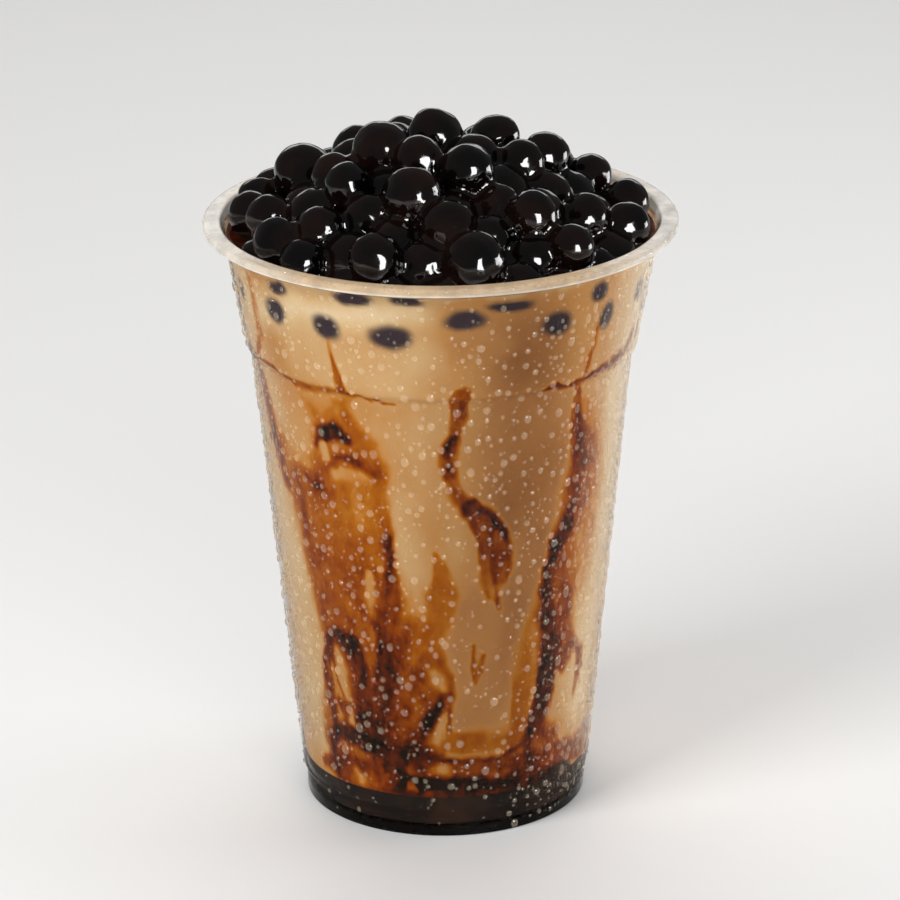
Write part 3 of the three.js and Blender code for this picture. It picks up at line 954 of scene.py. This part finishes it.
def wallDrops(draws, taken, tries, few, many):
    placed = []
    cell, margin = drops["cell"], drops["margin"]
    span = cup["height"] - cup["lipHeight"] - 2 * margin
    for _ in range(tries):
        angle = 360 * next(draws)
        height = margin + span * next(draws) ** drops["upwards"]
        chance, size, long = next(draws), next(draws), next(draws)
        crowd = crowding(angle, height)
        if chance > crowd:
            continue
        low, high = (a + (b - a) * crowd for a, b in zip(few, many))
        radius = low + (high - low) * size ** 2
        across = math.radians(angle) * drops["fromAxis"]
        column, row = int(across / cell), int(height / cell)
        near = [d for i in (-1, 0, 1) for j in (-1, 0, 1) for d in taken.get((column + i, row + j), ())]
        if any(math.hypot(across - x, height - z) < drops["spacing"] * (radius + r) for x, z, r in near):
            continue
        running = crowd > drops["runningFrom"]
        stretch = 1 + (drops["runningStretch"] * long ** 3 if running else drops["restingStretch"] * long)
        taken.setdefault((column, row), []).append((across, height, radius * (0.5 + 0.5 * stretch)))
        placed.append((*onWall(angle, height), radius, stretch))
    return placed


def lipDrops(draws):
    placed = []
    low, high = drops["lipRadius"]
    lowest, span = drops["lipTurns"]
    overOut, overUp = cup["lipOver"]
    for _ in range(drops["lipTries"]):
        a = 2 * math.pi * next(draws)
        turn = math.radians(lowest + span * next(draws))
        size, inward = next(draws), next(draws)
        out = cup["lipRadius"] - overOut + overOut * math.cos(turn)
        up = cup["height"] - overUp + overUp * math.sin(turn)
        if turn > math.radians(drops["lipTopFrom"]):
            out -= drops["lipTopWidth"] * inward
            up = cup["height"]
        place = (out * math.sin(a), -out * math.cos(a), up)
        outward = (math.cos(turn) * math.sin(a), -math.cos(turn) * math.cos(a), math.sin(turn))
        placed.append((place, outward, low + (high - low) * size ** 3, 1))
    return placed


def dropsPiece(name, placed, around, rings):
    points, faces = dropModel(around, rings)
    allPoints, allFaces = [], []
    for count, (place, outward, radius, stretch) in enumerate(placed):
        out = Vector(outward).normalized()
        side = Vector((out.y, -out.x, 0)).normalized()
        along = out.cross(side)
        basis = np.array([side, along * stretch, out * drops["flat"]]).T * radius
        allPoints.append((points @ basis.T + np.array(place)) * mm)
        allFaces.extend(tuple(count * len(points) + v for v in face) for face in faces)
    mesh = bpy.data.meshes.new(name)
    mesh.from_pydata(np.concatenate(allPoints).tolist(), [], allFaces)
    mesh.polygons.foreach_set("use_smooth", [True] * len(mesh.polygons))
    piece = bpy.data.objects.new(name, mesh)
    bpy.context.collection.objects.link(piece)
    return piece


# Light bends only on its way in, as a drop wets the wall, and the drops cast no shadow
def dropMaterial():
    material, tree, water = newMaterial("water drops")
    water.inputs["Base Color"].default_value = (1, 1, 1, 1)
    water.inputs["Roughness"].default_value = 0
    water.inputs["IOR"].default_value = drops["refraction"]
    water.inputs["Transmission Weight"].default_value = 1
    # Painted light: a pale cream diffuse share brightens the drops, as light focused through them would
    paintedBrightening = tree.nodes.new("ShaderNodeBsdfDiffuse")
    paintedBrightening.inputs["Color"].default_value = (*drops["milk"], 1)
    body = mixShaders(tree, drops["milky"], water.outputs[0], paintedBrightening.outputs[0])
    ray = tree.nodes.new("ShaderNodeLightPath")
    side = tree.nodes.new("ShaderNodeNewGeometry")
    unseen = mathNode(tree, "MAXIMUM", ray.outputs["Is Shadow Ray"], ray.outputs["Is Diffuse Ray"])
    passing = mathNode(tree, "MAXIMUM", unseen, side.outputs["Backfacing"])
    clear = tree.nodes.new("ShaderNodeBsdfTransparent")
    whole = mixShaders(tree, passing, body, clear.outputs[0])
    tree.links.new(whole, tree.nodes["Material Output"].inputs["Surface"])
    return material


water = dropMaterial()
dropDraws = drawsFrom(drops["seed"])
taken = {}
for name, tries, few, many, around, rings in drops["sizes"]:
    placed = wallDrops(dropDraws, taken, tries, few, many)
    if name == "drops_fine":
        placed += lipDrops(dropDraws)
    dress(dropsPiece(name, placed, around, rings), water, "cup_plastic")
    print(name, "made:", len(placed))

# Pale floor and soft lights
studio = {
    "floorSize": 6,  # metres, as the lights' sizes and places are
    "floorTone": (0.86, 0.855, 0.845),
    "floorRoughness": 0.6,
    "world": 0.13,
    "aim": (0, 0, 0.1),
    "lights": [  # azimuth from the front, height, distance, width, height, watts, what it shows in
        ("window", 24, 0.15, 0.4, 0.16, 0.26, 4.0, "gloss"),
        ("rim", 180, 0.36, 0.9, 0.9, 0.22, 1.0, "all"),
        ("right strip", 100, 0.1, 0.6, 0.3, 0.18, 2.2, "all"),
        ("above behind", 180, 0.9, 0.45, 1.0, 0.6, 4.5, "diffuse"),
        ("left soft", -48, 0.5, 0.7, 0.4, 0.4, 5.0, "diffuse"),
        ("front fill", 10, 0.6, 1.0, 0.8, 0.5, 3.4, "diffuse"),
    ],
}
bpy.ops.mesh.primitive_plane_add(size=studio["floorSize"], location=(0, 0, 0))
floor = bpy.context.object
floor.name = "floor"
floorMaterial, _, floorBsdf = newMaterial("pale floor")
floorBsdf.inputs["Base Color"].default_value = (*studio["floorTone"], 1)
floorBsdf.inputs["Roughness"].default_value = studio["floorRoughness"]
floor.data.materials.append(floorMaterial)
for name, azimuth, lift, distance, width, height, watts, shown in studio["lights"]:
    lamp = bpy.data.lights.new(name, "AREA")
    lamp.shape = "RECTANGLE"
    lamp.size = width
    lamp.size_y = height
    lamp.energy = watts
    lampObject = bpy.data.objects.new(name, lamp)
    bpy.context.collection.objects.link(lampObject)
    a = math.radians(azimuth)
    lampObject.location = (distance * math.sin(a), -distance * math.cos(a), lift)
    lampObject.visible_camera = False
    lampObject.visible_glossy = shown != "diffuse"
    lampObject.visible_diffuse = shown != "gloss"
    fromAim = lampObject.location - Vector(studio["aim"])
    lampObject.rotation_euler = fromAim.to_track_quat("Z", "Y").to_euler()
world = bpy.data.worlds.new("studio")
bpy.context.scene.world = world
world.use_nodes = True
background = world.node_tree.nodes["Background"]
background.inputs["Color"].default_value = (1, 1, 1, 1)
background.inputs["Strength"].default_value = studio["world"]
bpy.context.scene.view_settings.view_transform = "Standard"
print("studio made")
